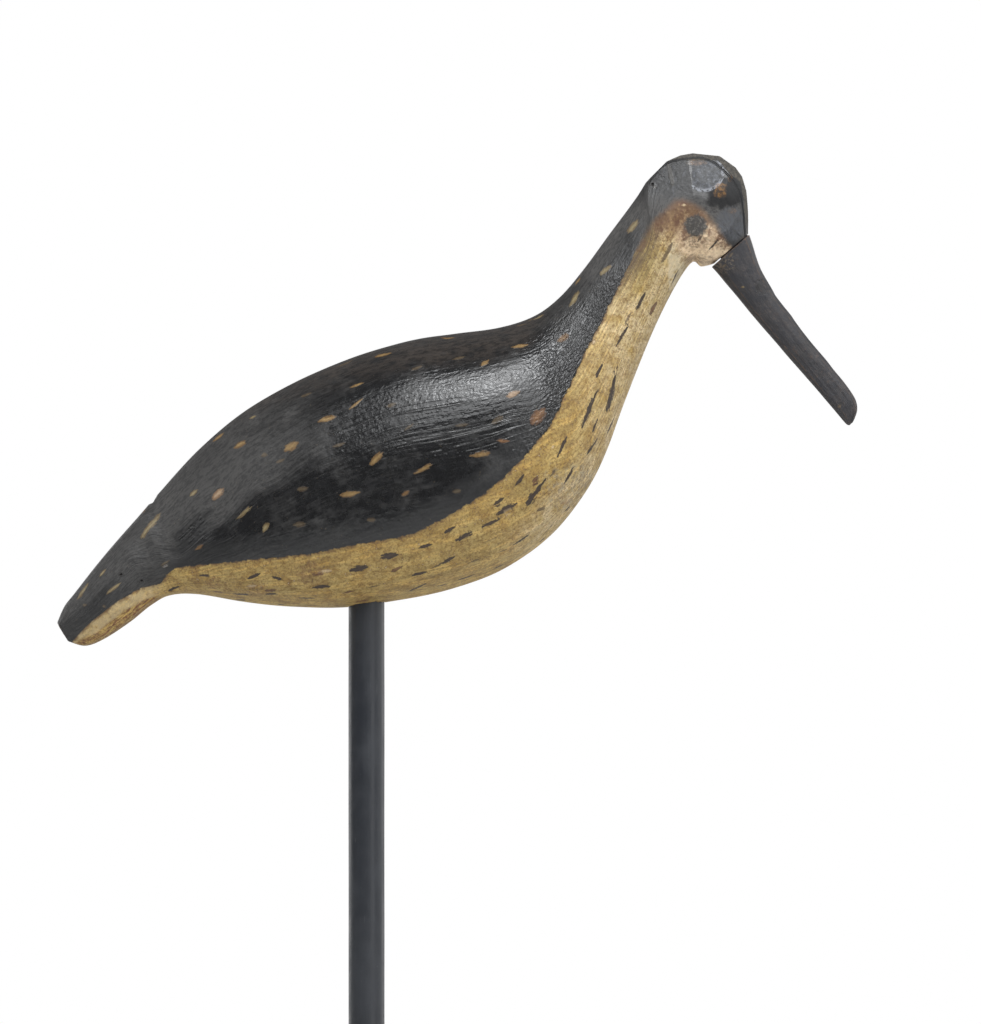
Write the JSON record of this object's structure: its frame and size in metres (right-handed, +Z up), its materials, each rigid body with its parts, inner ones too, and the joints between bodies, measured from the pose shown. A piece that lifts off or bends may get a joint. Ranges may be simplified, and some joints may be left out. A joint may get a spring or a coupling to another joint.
{
  "type": "shorebird decoy",
  "caption": "Carved and painted long-billed shorebird decoy with an upright neck, standing on a dowel in a round foot.",
  "frame": {"origin": "middle of the foot's underside, on the dowel's axis", "axes": "+Z up along the dowel, +X the way the bird faces, +Y to the bird's left"},
  "size_m": [0.2825, 0.127, 0.3563],
  "materials": {
    "bird_paint": "old black paint in satin gloss above, matt cream paint below, flecked and worn",
    "bill_paint": "worn matt black paint, brown wood at the edges",
    "stand_paint": "even satin slate-black paint"
  },
  "bodies": {
    "root": {"carved_body": "bird_paint", "bill": "bill_paint", "dowel": "stand_paint", "foot": "stand_paint"}
  },
  "joints": []
}
